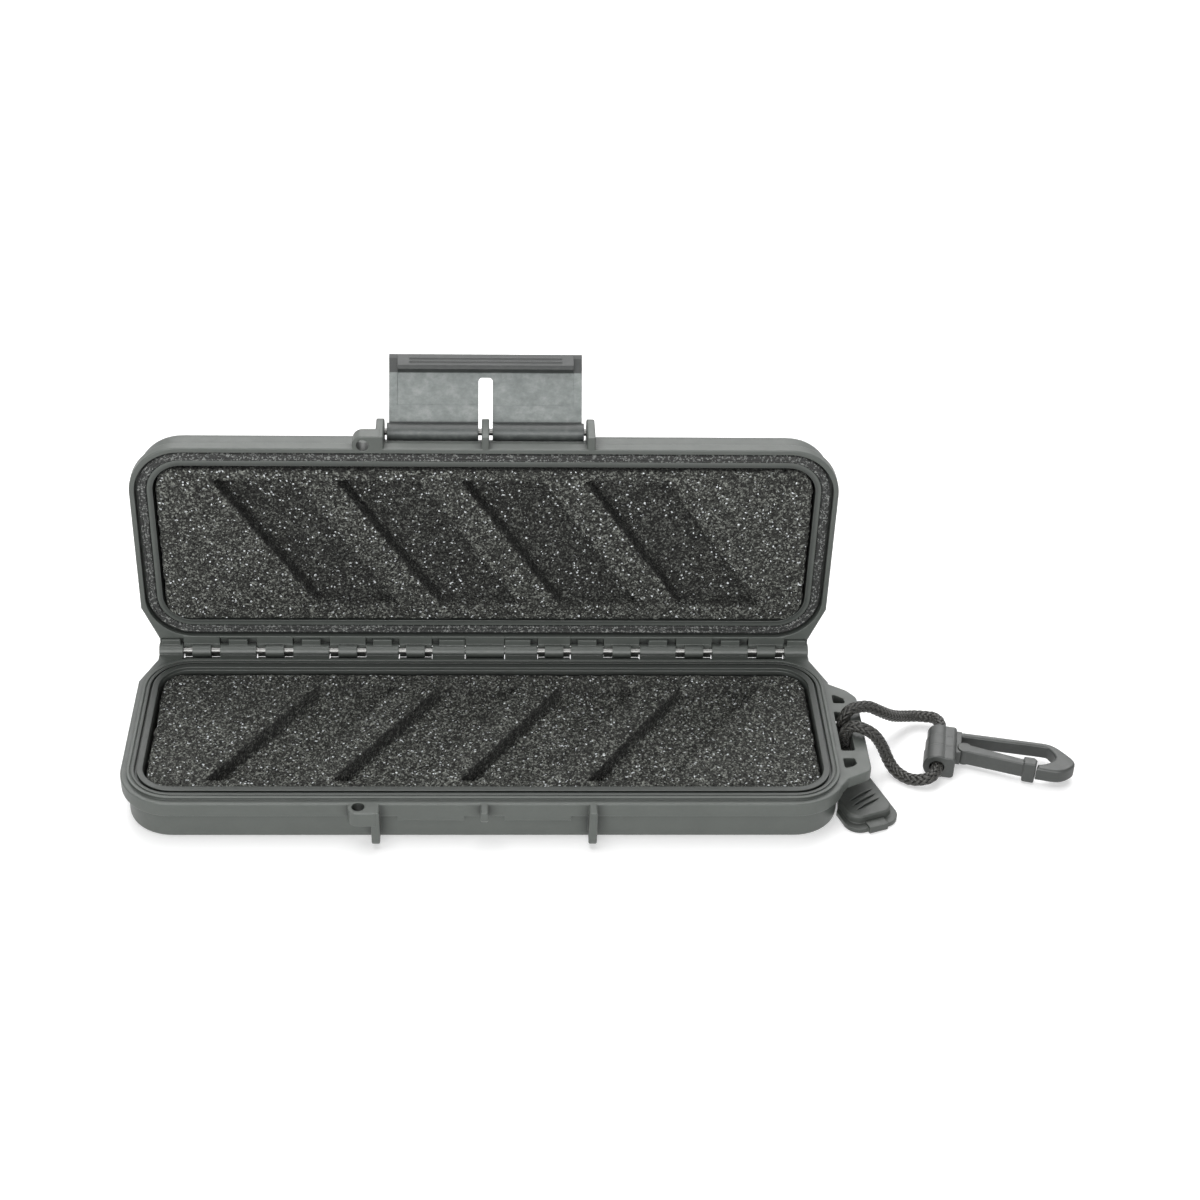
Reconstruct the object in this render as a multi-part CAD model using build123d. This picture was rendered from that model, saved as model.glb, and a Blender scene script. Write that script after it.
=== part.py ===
from build123d import *
import os
from math import radians, tan

# Broadhead case: a slim hinged box, modelled in millimetres.
# The origin is at the centre of the base's bottom face. X runs along the case,
# Y runs from the latch side to the hinge side and Z is up.
# At rest the lid stands open at a right angle, and its latch leans back.

# Overall sizes
CASE_LENGTH = 228.0
CASE_FRONT = 79.3
CASE_BACK = 4.7
BASE_HEIGHT = 15.0
LID_HEIGHT = 14.0
CORNER_RADIUS = 17.0
BACK_CHAMFER_X = 5.1
BACK_CHAMFER_Y = 12.3
PART_GAP = 0.2
EDGE_ROUND = 0.4

# Walls and flange bands
BASE_FLANGE = 5.0
LID_FLANGE = 4.0
BASE_INSET = 2.0
LID_INSET = 1.8
BASE_EDGE_FILLET = 1.3
LID_EDGE_FILLET = 4.0
FLOOR = 2.0

# Rim sections, each an inset from the rim line
RIM_EDGE = 2.0
RIM_EDGE_BACK = 1.3
TONGUE_WIDTH = 2.4
TONGUE_HEIGHT = 1.0
TONGUE_LINE = 0.5
TONGUE_LINE_DEPTH = 0.35
LIP_OUTER = 3.2
LIP_INNER = 5.1
LIP_HEIGHT = 1.2
CAVITY_INSET = 5.2
CHANNEL_OUTER = -0.35
CHANNEL_INNER = 3.5
SEAL_OUTER = 0.6
SEAL_INNER = 3.3
SEAL_GAP = 0.3
SEAL_THICKNESS = 2.5
LIP_GAP = 0.4

# Foam
BASE_FOAM_INSET = 5.8
LID_FOAM_INSET = 6.1
FOAM_BELOW = 0.8
FOAM_CUT = 5.4
SLOT_COUNT = 4
SLOT_WIDTH = 26.0
SLOT_SLANT = 0.675
SLOT_FRONT_MARGIN = 4.7
SLOT_BACK_MARGIN = 6.7
SLOT_LEFT_MARGIN = 18.8
SLOT_RIGHT_MARGIN = 15.3
SLOT_CORNER = 0.8

# Hinge
HINGE_PIN_RADIUS = 1.3
HINGE_CLEARANCE = 0.05
HINGE_WALL = 1.3
HINGE_END = 5.0
CENTRE_KNUCKLE = 13.3
INNER_KNUCKLE = 11.1
INNER_COUNT = 3
OUTER_KNUCKLE = 12.2
LAST_KNUCKLE_LEAST = 6.0
KNUCKLE_GAP = 0.25
BRIDGE_WIDTH = 6.2
LEAF_INTO_FLANGE = 1.0
STOP_FRONT = -0.5
STOP_BACK = 2.5
STOP_WALL = 0.8
STOP_GAP = 0.1
SLIT_COVER = 0.6
SLIT_COVER_GAP = 0.2
SILL_GAP = 0.35
SILL_DROP = 1.0
SILL_THICKNESS = 0.8
SILL_REACH = 0.3

# Latch and its lugs
LATCH_HALF = 31.0
LATCH_PIVOT_FRONT = 0.8
LATCH_PIVOT_HEIGHT = 12.2
LATCH_REST = 123.0
LATCH_PIN_RADIUS = 1.1
LATCH_WALL = 1.8
LATCH_PLATE = 1.7
LATCH_SLOT_HALF = 2.3
LATCH_SLOT_STOP = 1.4
LATCH_SLOT_CORNER = 1.2
BARREL_LONGER = 0.6
LATCH_TIP_BEVEL = 1.4
CATCH_GAP = 0.2
CATCH_DEPTH = 6.5
CATCH_STEP = 1.0
CATCH_INNER = 6.3
CATCH_END_GAP = 1.4
HOOK_INSET = 2.7
HOOK_LENGTH = 6.1
HOOK_DEPTH = 2.1
HOOK_SLOPE = 1.2
HOOK_NOSE = 1.2
TIP_THICKNESS = 0.9
SCOOP_GAP = 1.4
PANEL_START = 8.7
PANEL_DEPTH = 0.15
GRIP_INSET = 3.8
GRIP_RIB = 0.35
GRIP_SHARES = (0.3, 0.62)
LUG_GAP = 1.3
LUG_REACH = 4.4
LUG_WIDTH = 2.6
LUG_LIFT = 1.5
LUG_LOW_ROUND = 2.2
LUG_HIGH_ROUND = 3.0
MIDDLE_LUG_WIDTH = 2.4
MIDDLE_LUG_HEIGHT = 4.2
MIDDLE_LUG_ROUND = 1.5
LUG_EDGE = 0.5
PIN_SHORT = 0.3

# Padlock ears
EAR_THICKNESS = 5.3
EAR_HOLE_RADIUS = 2.0
EAR_HOLE_FRONT = 1.2
EAR_HOLE_OUT = 4.0
EAR_WALL = 1.3

# Lanyard bracket, as distances out from the flange end and forward of the hinge
BRACKET_THICKNESS = 4.0
BRACKET_REACH = 8.4
BRACKET_BACK = 18.0
BRACKET_FRONT = 62.8
BRACKET_ROOT_SLOPE = 1.5
BRACKET_SHOULDER = (5.4, 3.4)
BRACKET_BACK_SLOPE = 7.2
BRACKET_FOOT = (0.4, 4.2)
BRACKET_TOE = (-3.3, 9.2)
BRACKET_CORNER = 3.4
BAR_WIDTH = 4.1
CORD_SLOT_OUT = 2.1
CORD_SLOT_GAP = 0.2
CORD_SLOT_BACK = 32.6
CORD_SLOT_FRONT = 53.0
CORD_SLOT_SLANT = 1.4
CUT_CORNER = 0.7
WINDOW_DEPTH = 5.2
WINDOW_SLANT = 2.6
WINDOW_INSET = 0.4
FRONT_WINDOW_STEPS = (2.8, 4.0)
FRONT_WINDOW_INSETS = (0.7, 0.3, 1.5)

# Swinging rubber tab and its rivet
TAB_PIVOT_OUT = 3.6
TAB_PIVOT_FRONT = 54.9
TAB_ANGLE = 20.0
TAB_WIDTH = 15.0
TAB_REACH = 17.6
TAB_BACK = -2.0
TAB_CORNER = 4.0
TAB_EDGE = 0.7
TAB_FLANGE_WIDTH = 18.0
TAB_FLANGE_REACH = 20.3
TAB_FLANGE_BACK = -3.0
TAB_FLANGE_CORNER = 5.0
TAB_PULL_LENGTH = 3.5
TAB_PULL_OUT = 1.0
TAB_PULL_SIDES = (-3.1, 3.3)
TAB_PULL_HEIGHT = 2.3
TAB_SLITS = (8.0, 10.4, 12.7)
TAB_SLIT_HALF = 5.2
TAB_SLIT_BULGE = 0.55
TAB_SLIT_DEPTH = 0.9
TAB_SLIT_SIDE = -0.5
TAB_SLIT_TURN = 107.0
TAB_SHIFT = 0.8
TAB_HEIGHT = 4.3
TAB_FLANGE_HEIGHT = 1.5
TAB_LIFT = 0.3
TAB_EAR_HEIGHT = 3.0
TAB_WALL_GAP = 0.6
RIVET_RADIUS = 1.1
RIVET_CLEARANCE = 0.05
RIVET_HEAD_RIM = 1.5
RIVET_HEAD = 0.9
RIVET_GRIP = 4.0
RIVET_FIT = 0.02
RIVET_SHORT = 0.3
POST_WALL = 0.6
POST_OVERLAP = 0.5
SWING_GAP = 0.25

# Lanyard cord and snap hook
CORD_RADIUS = 2.0
KNOT_SIZE = (8.0, 15.0, 6.4)
KNOT_CORNER = 3.2
KNOT_EDGE = 2.4
KNOT_OUT = 2.6
KNOT_FRONT = 40.0
KNOT_DROP = 1.1
SNAP_X = 34.2
SNAP_FRONT = 40.3
SNAP_ANGLE = 12.0
SNAP_LIFT = 0.1
EYE_CLEARANCE = 0.4
EYE_FAR = 9.5
EYE_STEP_FAR = 4.0
EYE_STEP_NEAR = -1.5
EYE_NEAR = -8.5
EYE_WALLS = (1.4, 1.8, 2.1)
EYE_NECK = 5.6
EYE_NECK_INSET = 0.5
EYE_NECK_CORNER = 1.2
EYE_EDGE = 0.4
SPINE_START = 4.0
SPINE_END = 7.2
SPINE_FRONT = -2.6
BAR_START = 3.0
BAR_OUTER = 8.3
BAR_INNER = 6.2
NOSE_OUTER = ((33.0, 8.3), (40.6, 4.4), (43.8, -0.6), (41.4, -4.2), (34.4, -5.7))
NOSE_TIP = (31.5, -5.6)
NOSE_INNER = ((32.0, -3.1), (36.4, -0.6), (37.5, 2.3), (35.6, 5.4), (32.7, 6.2))
FRAME_THICKNESS = 5.0
FRAME_EDGE = 0.8
GATE_THICKNESS = 5.6
GATE_EDGE = 0.5
GATE_PIVOT = (8.4, 0.2)
GATE_KNUCKLE = 2.2
GATE_ROOT_HALF = 2.0
GATE_ARM_END = 27.9
GATE_ARM_SIDES = (-2.0, -4.6)
GATE_TIP = ((27.4, -1.8), (30.8, -1.9), (31.75, -3.0), (31.2, -5.7), (27.4, -5.4))
GATE_TIP_THICKNESS = 7.8
GATE_CLEARANCE = 0.1

# Places worked out from the sizes above
BARREL_RADIUS = HINGE_PIN_RADIUS + HINGE_WALL
SEAL_DEPTH = TONGUE_HEIGHT + SEAL_GAP
LID_LIP_DEPTH = LIP_HEIGHT + LIP_GAP
LATCH_BARREL = LATCH_PIN_RADIUS + LATCH_WALL
SCOOP_RADIUS = LATCH_BARREL + SCOOP_GAP
HOOK_HALF = LATCH_HALF - HOOK_INSET
GRIP_HALF = HOOK_HALF - GRIP_INSET
CATCH_OUTER = HOOK_HALF - CATCH_END_GAP
CATCH_ARM = LATCH_PIVOT_HEIGHT + CATCH_DEPTH + CATCH_GAP
LATCH_LENGTH = CATCH_ARM + HOOK_LENGTH
LUG_INNER = LATCH_HALF + LUG_GAP
LUG_OUTER = LUG_INNER + LUG_WIDTH
BASE_LUG_HEIGHT = BASE_HEIGHT - LUG_LIFT
EAR_HOLE_X = -LUG_OUTER - EAR_HOLE_OUT
EAR_RADIUS = EAR_HOLE_RADIUS + EAR_WALL
POST_RADIUS = RIVET_RADIUS + POST_WALL
RIVET_HEAD_RADIUS = RIVET_RADIUS + RIVET_HEAD_RIM
EYE_BORE = CORD_RADIUS + EYE_CLEARANCE
SNAP_AXIS_HEIGHT = EYE_BORE + max(EYE_WALLS) + SNAP_LIFT
HALF_LENGTH = CASE_LENGTH / 2
HINGE_Y = (CASE_FRONT + CASE_BACK) / 2
HINGE_HALF = HALF_LENGTH - HINGE_END
RIM_HALF = HALF_LENGTH - RIM_EDGE
RIM_FRONT = CASE_FRONT - RIM_EDGE
RIM_BACK = CASE_BACK + RIM_EDGE_BACK
PIVOT_Y = -(CASE_FRONT - LATCH_PIVOT_FRONT)
LUG_FRONT = CASE_FRONT + LUG_REACH
BORE_RADIUS = HINGE_PIN_RADIUS + HINGE_CLEARANCE

# From the hinge axis to the base's frame, and to the standing lid's
TO_BASE = Pos(0, HINGE_Y, BASE_HEIGHT)
TO_LID = TO_BASE * Rot(-90, 0, 0)


def case_outline(inset):
    """Plan of one half, drawn in by inset from the flange edge."""
    x, back, front = HALF_LENGTH, -CASE_BACK, -CASE_FRONT
    shoulder = back - BACK_CHAMFER_Y
    right = [(x, front), (x, shoulder), (x - BACK_CHAMFER_X, back)]
    left = [(-px, py) for px, py in reversed(right)]
    face = make_face(Polyline(*right, *left, close=True))
    corners = face.vertices().sort_by(Axis.Y)[:2]
    face = fillet(corners, CORNER_RADIUS)
    return offset(face, -inset) if inset else face


def rim(inset):
    """Rounded rectangle inside the rim line."""
    length = 2 * (RIM_HALF - inset)
    width = RIM_FRONT - RIM_BACK - 2 * inset
    centre = -(RIM_FRONT + RIM_BACK) / 2
    return Pos(0, centre) * RectangleRounded(length, width, CORNER_RADIUS - RIM_EDGE - inset)


def slab(sketch, low, high):
    """Sketch raised into a solid between two heights."""
    return Pos(0, 0, low) * extrude(sketch, high - low)


def rounded_slab(sketch, low, high):
    """Slab whose top and bottom edges are a little round."""
    body = slab(sketch, low, high)
    ends = body.faces().sort_by(Axis.Z)
    return fillet(ends[0].edges() + ends[-1].edges(), EDGE_ROUND)


def ring(outer, inner, low, high):
    """Closed rim band between two insets."""
    return slab(rim(outer) - rim(inner), low, high)


def block(x0, x1, y0, y1, z0, z1):
    """Box given by its limits."""
    return Pos(x0, y0, z0) * Box(x1 - x0, y1 - y0, z1 - z0, align=(Align.MIN,) * 3)


def rod(radius, x0, x1, y=0.0, z=0.0):
    """Cylinder along X."""
    bar = Cylinder(radius, x1 - x0, align=(Align.CENTER, Align.CENTER, Align.MIN))
    return Pos(x0, y, z) * Rot(0, 90, 0) * bar


def side_profile(points, x0, x1):
    """Outline of (y, z) points made into a solid between two X places."""
    face = make_face(Polyline(*[(0, y, z) for y, z in points], close=True))
    return Pos(x0, 0, 0) * extrude(face, x1 - x0, dir=(1, 0, 0))


def knuckle_edges():
    """X places of the joints between knuckles, from the middle to one end."""
    edges = [CENTRE_KNUCKLE / 2]
    while edges[-1] + OUTER_KNUCKLE + LAST_KNUCKLE_LEAST <= HINGE_HALF:
        width = INNER_KNUCKLE if len(edges) <= INNER_COUNT else OUTER_KNUCKLE
        edges.append(edges[-1] + width)
    return edges + [HINGE_HALF]


def knuckle_spans(first):
    """Start and end of every second knuckle, on both sides of the middle."""
    edges = knuckle_edges()
    spans = []
    for i in range(first, len(edges) - 1, 2):
        low = edges[i] + KNUCKLE_GAP / 2
        high = edges[i + 1] - (KNUCKLE_GAP / 2 if i < len(edges) - 2 else 0)
        spans += [(low, high), (-high, -low)]
    return spans


def knuckle(x0, x1, side):
    """Barrel around the pin with a leaf into its own half."""
    depth = sorted((side * BARREL_RADIUS, side * PART_GAP / 2))
    leaf = block(x0, x1, -CASE_BACK - LEAF_INTO_FLANGE, 0, *depth)
    return rod(BARREL_RADIUS, x0, x1) + leaf


def windowed_knuckle(x0, x1):
    """Knuckle of the lid that bares the pin on both sides of a narrow bridge."""
    low, high = bridge_ends(x0, x1)
    size = 2 * BARREL_RADIUS
    body = knuckle(x0, x1, 1)
    for a, b in ((x0, low), (high, x1)):
        body -= block(a, b, -size, size, -size, 0)
    return body


def bridge_ends(x0, x1):
    """X limits of the middle part of a knuckle."""
    middle = (x0 + x1) / 2
    return middle - BRIDGE_WIDTH / 2, middle + BRIDGE_WIDTH / 2


def stop_lug(x0, x1):
    """Wall behind the pin with a thick middle that the open lid leans on."""
    low, high = bridge_ends(x0, x1)
    top = CASE_BACK - STOP_GAP
    first = CENTRE_KNUCKLE / 2 + INNER_KNUCKLE
    if 0 < x0 < x1 < first:
        low = x0
    if -first < x0 < x1 < 0:
        high = x1
    cover = BARREL_RADIUS + SLIT_COVER_GAP
    back = cover + STOP_WALL
    wall = block(x0, x1, STOP_BACK - STOP_WALL, back, 0, top)
    left, right = max(x0 - SLIT_COVER, -HINGE_HALF), min(x1 + SLIT_COVER, HINGE_HALF)
    wall += block(left, right, cover, back, 0, top)
    return wall + block(low, high, STOP_FRONT, STOP_BACK, 0, top)


def sill(x0, x1):
    """Ledge of the base in front of a lid knuckle, with a lip under it."""
    root = -CASE_BACK - LEAF_INTO_FLANGE
    gap = -BARREL_RADIUS - SILL_GAP
    low = gap - SILL_THICKNESS
    return block(x0, x1, root, gap, low, -SILL_DROP) + block(x0, x1, root, SILL_REACH, low, gap)


def centre_span():
    """Start and end of the lid's middle knuckle."""
    half = (CENTRE_KNUCKLE - KNUCKLE_GAP) / 2
    return -half, half


def pin_bore():
    return rod(BORE_RADIUS, -HINGE_HALF - 1, HINGE_HALF + 1)


def lug(x0, x1, low, high, root, round_low, round_high):
    """Upright fin beyond the front flange, rounded at its outer corners."""
    fin = block(x0, x1, -LUG_FRONT, -root, low, high)
    edges = fin.edges().filter_by(Axis.X).sort_by(Axis.Y)[:2].sort_by(Axis.Z)
    if round_low:
        fin = fillet(edges[0], round_low)
    if round_high:
        top = fin.edges().filter_by(Axis.X).filter_by(lambda e: e.center().Z > high - 0.01)
        fin = fillet(top.sort_by(Axis.Y)[0], round_high)
    sides = fin.faces().sort_by(Axis.X)
    return fillet(sides[0].edges() + sides[-1].edges(), LUG_EDGE)


def padlock_ear(low, high):
    """Flat ear with a round end beside the left lug."""
    hole_y = -(CASE_FRONT + EAR_HOLE_FRONT)
    centre = Pos(EAR_HOLE_X, hole_y)
    reach = -LUG_OUTER + LUG_WIDTH / 2
    body = centre * Circle(EAR_RADIUS)
    body += Pos(EAR_HOLE_X, hole_y) * Rectangle(
        reach - EAR_HOLE_X, 2 * EAR_RADIUS, align=(Align.MIN, Align.CENTER)
    )
    root = Rectangle(reach - EAR_HOLE_X + EAR_RADIUS, EAR_RADIUS, align=(Align.MIN, Align.MIN))
    body += Pos(EAR_HOLE_X - EAR_RADIUS, hole_y) * root
    return rounded_slab(body, low, high)


def padlock_hole():
    hole = Cylinder(EAR_HOLE_RADIUS, 4 * BASE_HEIGHT)
    return Pos(EAR_HOLE_X, -(CASE_FRONT + EAR_HOLE_FRONT), 0) * hole


def bracket():
    """Lanyard bracket on the right end, level with the parting plane."""
    edge = HALF_LENGTH
    out = edge + BRACKET_REACH
    root = edge - BRACKET_REACH
    points = [
        (root, -BRACKET_BACK + BRACKET_ROOT_SLOPE),
        (edge, -BRACKET_BACK),
        (edge + BRACKET_SHOULDER[0], -BRACKET_BACK - BRACKET_SHOULDER[1]),
        (out, -BRACKET_BACK - BRACKET_BACK_SLOPE),
        (out, -BRACKET_FRONT),
        (edge + BRACKET_FOOT[0], -BRACKET_FRONT - BRACKET_FOOT[1]),
        (edge + BRACKET_TOE[0], -BRACKET_FRONT - BRACKET_TOE[1]),
        (root, -BRACKET_FRONT - BRACKET_TOE[1]),
    ]
    face = make_face(Polyline(*points, close=True))
    outer = face.vertices().sort_by(Axis.X)[-3:]
    return rounded_slab(fillet(outer, BRACKET_CORNER), -BRACKET_THICKNESS, 0)


def bracket_cuts():
    """The long cord slot and the small windows at its ends."""
    half = CORD_RADIUS + CORD_SLOT_GAP
    x0 = HALF_LENGTH + CORD_SLOT_OUT - half
    x1 = x0 + 2 * half
    slot = make_face(Polyline(
        (x0, -CORD_SLOT_BACK), (x1, -CORD_SLOT_BACK - CORD_SLOT_SLANT),
        (x1, -CORD_SLOT_FRONT), (x0, -CORD_SLOT_FRONT), close=True,
    ))
    back = -CORD_SLOT_BACK + BAR_WIDTH
    back_window = make_face(Polyline(
        (x0 + WINDOW_INSET, back + WINDOW_DEPTH), (x1 - WINDOW_INSET, back + WINDOW_SLANT),
        (x1, back), (x0 + WINDOW_INSET, back), close=True,
    ))
    front = -CORD_SLOT_FRONT - BAR_WIDTH + WINDOW_INSET
    start, middle, end = FRONT_WINDOW_INSETS
    upper, lower = FRONT_WINDOW_STEPS
    front_window = make_face(Polyline(
        (x0, front), (x1 - start, front), (x1 - middle, front - upper),
        (x1 - end, front - lower), (x0, front - WINDOW_DEPTH), close=True,
    ))
    cuts = []
    for face in (slot, back_window, front_window):
        cuts.append(slab(fillet(face.vertices(), CUT_CORNER), -BASE_FLANGE, 1))
    return cuts


def tab_pivot():
    return Pos(HALF_LENGTH + TAB_PIVOT_OUT, -TAB_PIVOT_FRONT, -BASE_HEIGHT)


def tab_post():
    """Post under the bracket that carries the swinging tab."""
    top = BASE_HEIGHT - BRACKET_THICKNESS + POST_OVERLAP
    low = TAB_LIFT + TAB_HEIGHT + SWING_GAP
    post = Cylinder(POST_RADIUS, top - low, align=(Align.CENTER, Align.CENTER, Align.MIN))
    hole = Cylinder(RIVET_RADIUS + RIVET_FIT, RIVET_GRIP, align=(Align.CENTER, Align.CENTER, Align.MIN))
    return tab_pivot() * Pos(0, 0, low) * post, tab_pivot() * Pos(0, 0, low) * hole


def base_shell():
    shell = rounded_slab(case_outline(0), -BASE_FLANGE, 0)
    lower = slab(case_outline(BASE_INSET), -BASE_HEIGHT, 0)
    lower = fillet(lower.faces().sort_by(Axis.Z)[0].edges(), BASE_EDGE_FILLET)
    shell += lower
    front = -CASE_FRONT
    for x0, x1 in ((CATCH_INNER, CATCH_OUTER), (-CATCH_OUTER, -CATCH_INNER)):
        shell += block(x0, x1, front, front + BASE_INSET + 1, -CATCH_DEPTH, -BASE_FLANGE + CATCH_STEP)
    shell += bracket()
    shell += padlock_ear(-EAR_THICKNESS, 0)
    root = CASE_FRONT - BASE_INSET - 1
    for x0 in (LUG_INNER, -LUG_OUTER):
        shell += lug(x0, x0 + LUG_WIDTH, -BASE_LUG_HEIGHT, 0, root, LUG_LOW_ROUND, 0)
    half = MIDDLE_LUG_WIDTH / 2
    shell += lug(-half, half, -MIDDLE_LUG_HEIGHT, 0, root, MIDDLE_LUG_ROUND, 0)
    shell -= slab(rim(CAVITY_INSET), -BASE_HEIGHT + FLOOR, 2 * LIP_HEIGHT)
    middle = TONGUE_WIDTH / 2
    shell += ring(0, TONGUE_WIDTH, 0, TONGUE_HEIGHT)
    shell -= ring(
        middle - TONGUE_LINE / 2, middle + TONGUE_LINE / 2,
        TONGUE_HEIGHT - TONGUE_LINE_DEPTH, 2 * TONGUE_HEIGHT,
    )
    shell += ring(LIP_OUTER, LIP_INNER, 0, LIP_HEIGHT)
    for x0, x1 in knuckle_spans(0):
        shell += knuckle(x0, x1, -1)
        shell += stop_lug(x0, x1)
    for x0, x1 in knuckle_spans(1) + [centre_span()]:
        shell += sill(x0, x1)
    shell -= pin_bore()
    for cut in bracket_cuts():
        shell -= cut
    post, hole = tab_post()
    shell += post
    shell -= hole
    return shell - padlock_hole()


def lid_shell():
    shell = rounded_slab(case_outline(0), PART_GAP, LID_FLANGE)
    upper = slab(case_outline(LID_INSET), PART_GAP, LID_HEIGHT)
    upper = fillet(upper.faces().sort_by(Axis.Z)[-1].edges(), LID_EDGE_FILLET)
    shell += upper
    root = CASE_FRONT - LID_INSET - LID_EDGE_FILLET
    fins = []
    high = LID_HEIGHT - 0.1
    half = MIDDLE_LUG_WIDTH / 2
    for x0, x1 in ((LUG_INNER, LUG_OUTER), (-LUG_OUTER, -LUG_INNER), (-half, half)):
        fins.append(lug(x0, x1, PART_GAP, high, root, 0, LUG_HIGH_ROUND))
    shell -= rod(SCOOP_RADIUS, -LUG_INNER, LUG_INNER, PIVOT_Y, LATCH_PIVOT_HEIGHT)
    for fin in fins:
        shell += fin
    shell += padlock_ear(PART_GAP, EAR_THICKNESS)
    shell -= rod(LATCH_PIN_RADIUS, -LUG_OUTER, LUG_OUTER, PIVOT_Y, LATCH_PIVOT_HEIGHT)
    shell -= slab(rim(CAVITY_INSET + PART_GAP), 0, LID_HEIGHT - FLOOR)
    shell -= ring(CHANNEL_OUTER, CHANNEL_INNER, 0, SEAL_DEPTH + SEAL_THICKNESS)
    shell -= ring(CHANNEL_INNER - 0.1, CAVITY_INSET + 0.5, 0, LID_LIP_DEPTH)
    shell += knuckle(*centre_span(), 1)
    for x0, x1 in knuckle_spans(1):
        shell += windowed_knuckle(x0, x1)
    return shell - pin_bore() - padlock_hole()


def lid_seal():
    return ring(SEAL_OUTER, SEAL_INNER, SEAL_DEPTH, SEAL_DEPTH + SEAL_THICKNESS)


def slot_shapes():
    """Slanted slots for the broadheads, the same in both halves."""
    half = RIM_HALF - BASE_FOAM_INSET
    front = RIM_FRONT - BASE_FOAM_INSET - SLOT_FRONT_MARGIN
    back = RIM_BACK + BASE_FOAM_INSET + SLOT_BACK_MARGIN
    lean = SLOT_SLANT * (front - back)
    first = -half + SLOT_LEFT_MARGIN
    last = half - SLOT_RIGHT_MARGIN - SLOT_WIDTH - lean
    pitch = (last - first) / (SLOT_COUNT - 1)
    slots = []
    for i in range(SLOT_COUNT):
        x = first + i * pitch
        points = [
            (x, -front), (x + SLOT_WIDTH, -front),
            (x + SLOT_WIDTH + lean, -back), (x + lean, -back),
        ]
        face = make_face(Polyline(*points, close=True))
        slots.append(fillet(face.vertices(), SLOT_CORNER))
    return slots


def foam_cut(inset, side):
    """Upper foam sheet with its slots, below (-1) or above (1) the parting plane."""
    low, high = sorted((side * FOAM_BELOW, side * (FOAM_BELOW + FOAM_CUT)))
    sheet = slab(rim(inset), low, high)
    for shape in slot_shapes():
        sheet -= slab(shape, low - 1, high + 1)
    return sheet


def foam_backing(inset, side, height):
    """Plain foam sheet that the slots stand on."""
    low, high = sorted((side * (FOAM_BELOW + FOAM_CUT), side * (height - FLOOR)))
    return slab(rim(inset), low, high)


def latch():
    """Latch plate, closed, about its own pivot: the plate hangs down in front."""
    inner = LATCH_BARREL - LATCH_PLATE
    tip = LATCH_LENGTH
    body = side_profile(
        [(-LATCH_BARREL, 0), (-inner, 0), (-inner, -tip), (-LATCH_BARREL, -tip)],
        -LATCH_HALF, LATCH_HALF,
    )
    barrel_half = LATCH_HALF + BARREL_LONGER
    body += rod(LATCH_BARREL, -barrel_half, barrel_half)
    nose = inner - HOOK_DEPTH
    nose_top = CATCH_ARM + HOOK_SLOPE
    nose_end = nose_top + HOOK_NOSE
    tip_face = LATCH_BARREL - TIP_THICKNESS
    hook = [(inner, CATCH_ARM), (nose, nose_top), (nose, nose_end), (tip_face, tip), (LATCH_BARREL, tip)]
    hook.append((LATCH_BARREL, CATCH_ARM))
    body -= side_profile(
        [(-tip_face, -tip), (-inner, -tip), (-inner, -tip + LATCH_TIP_BEVEL)],
        -LATCH_HALF - 1, LATCH_HALF + 1,
    )
    body += side_profile([(-o, -a) for o, a in hook], -HOOK_HALF, HOOK_HALF)
    body -= block(
        -HOOK_HALF, HOOK_HALF, -inner - PANEL_DEPTH, -inner + 1, -CATCH_ARM, -PANEL_START
    )
    body += grip_ribs(nose, nose_end, tip_face, tip)
    body = cut_latch_slot(body)
    body -= rod(LATCH_PIN_RADIUS + HINGE_CLEARANCE, -LUG_INNER, LUG_INNER)
    return body


def grip_ribs(nose, nose_end, tip_face, tip):
    """Two thin raised lines along the sloped face of the hook."""
    ribs = []
    for share in GRIP_SHARES:
        o = nose + share * (tip_face - nose)
        a = nose_end + share * (tip - nose_end)
        ribs.append(rod(GRIP_RIB, -GRIP_HALF, GRIP_HALF, -o, -a))
    return ribs


def cut_latch_slot(body):
    """Open slot up the middle of the plate, with round corners at its far end."""
    half = LATCH_SLOT_HALF
    reach = 2 * LATCH_BARREL
    slot = block(-half, half, -reach, reach, -CATCH_ARM + LATCH_SLOT_STOP, reach)
    corners = slot.edges().filter_by(Axis.Y).sort_by(Axis.Z)[:2]
    return body - fillet(corners, LATCH_SLOT_CORNER)


def latch_pin():
    half = LUG_OUTER - PIN_SHORT
    return rod(LATCH_PIN_RADIUS, -half, half, PIVOT_Y, LATCH_PIVOT_HEIGHT)


def rounded_tongue(width, reach, back, low, high, radius):
    """Flat tongue along its own X, from back to reach, with a rounded far end."""
    face = Pos(back, 0) * Rectangle(reach - back, width, align=(Align.MIN, Align.CENTER))
    ends = face.vertices().sort_by(Axis.X)[-2:]
    return slab(fillet(ends, radius), low, high)


def grip_slits(top):
    """Three lens-shaped slits across the tab."""
    slits = []
    arc = ThreePointArc((-TAB_SLIT_HALF, 0), (0, TAB_SLIT_BULGE), (TAB_SLIT_HALF, 0))
    lens = make_face(Curve() + [arc, mirror(arc, Plane.XZ)])
    cut = Rot(0, 0, TAB_SLIT_TURN) * slab(lens, top - TAB_SLIT_DEPTH, top + 1)
    for x in TAB_SLITS:
        slits.append(Pos(x, TAB_SLIT_SIDE, 0) * cut)
    return slits


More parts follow.
